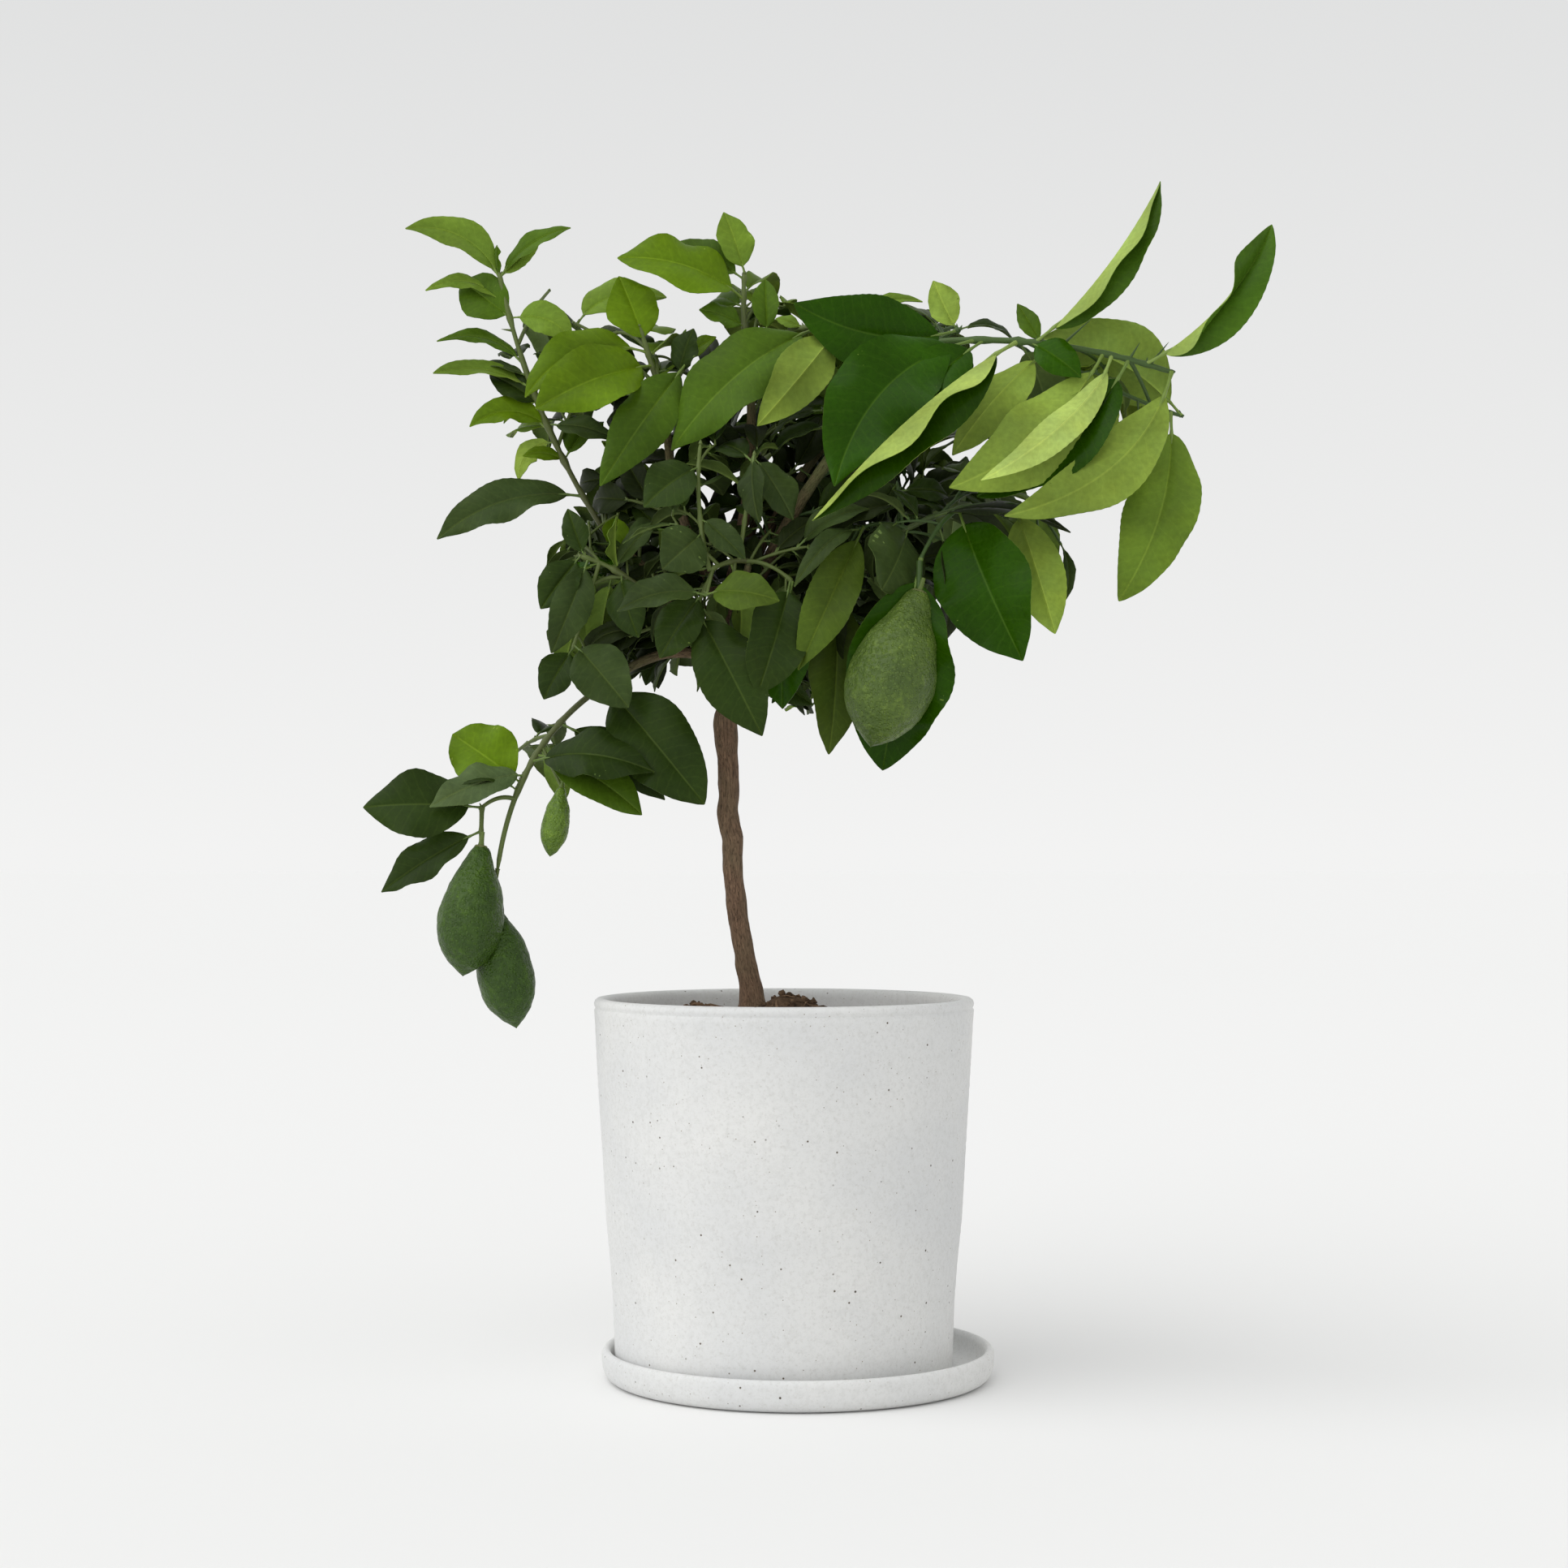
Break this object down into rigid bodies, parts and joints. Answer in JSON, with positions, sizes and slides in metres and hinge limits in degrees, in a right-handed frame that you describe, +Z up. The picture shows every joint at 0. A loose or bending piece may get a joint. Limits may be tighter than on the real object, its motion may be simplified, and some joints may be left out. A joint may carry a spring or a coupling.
{
  "type": "potted lemon tree",
  "caption": "Young lemon tree with hanging fruit, standing in a tapered stoneware pot on its saucer.",
  "frame": {"origin": "on the pot's upright axis, at the saucer's flat underside", "axes": "+Z up, +X to the right of the side that the fruit shows on, +Y away from that side"},
  "size_m": [0.4685, 0.2471, 0.6213],
  "materials": {
    "stoneware": "matte",
    "soil": "matte",
    "bark": "matte",
    "leaf": "satin",
    "fruit": "satin"
  },
  "bodies": {
    "root": {"saucer": "stoneware", "pot": "stoneware", "soil": "soil", "trunk": "bark", "bough_top": "bark", "bough_upper_left": "bark", "bough_left_high": "bark", "bough_left_mid": "bark", "bough_left_low": "bark", "bough_front": "bark", "bough_right_top": "bark", "bough_right_long": "bark", "bough_right_low": "bark", "bough_back_left": "bark", "bough_back_right": "bark", "bough_back_top": "bark", "bough_back_low": "bark", "foliage_left_high": "leaf", "foliage_upper_left": "leaf", "foliage_top": "leaf", "foliage_right_top": "leaf", "foliage_right_long": "leaf", "foliage_right_low": "leaf", "foliage_front": "leaf", "foliage_left_mid": "leaf", "foliage_left_low": "leaf", "foliage_back_left": "leaf", "foliage_back_right": "leaf", "foliage_back_top": "leaf", "foliage_back_low": "leaf"}
  },
  "joints": []
}
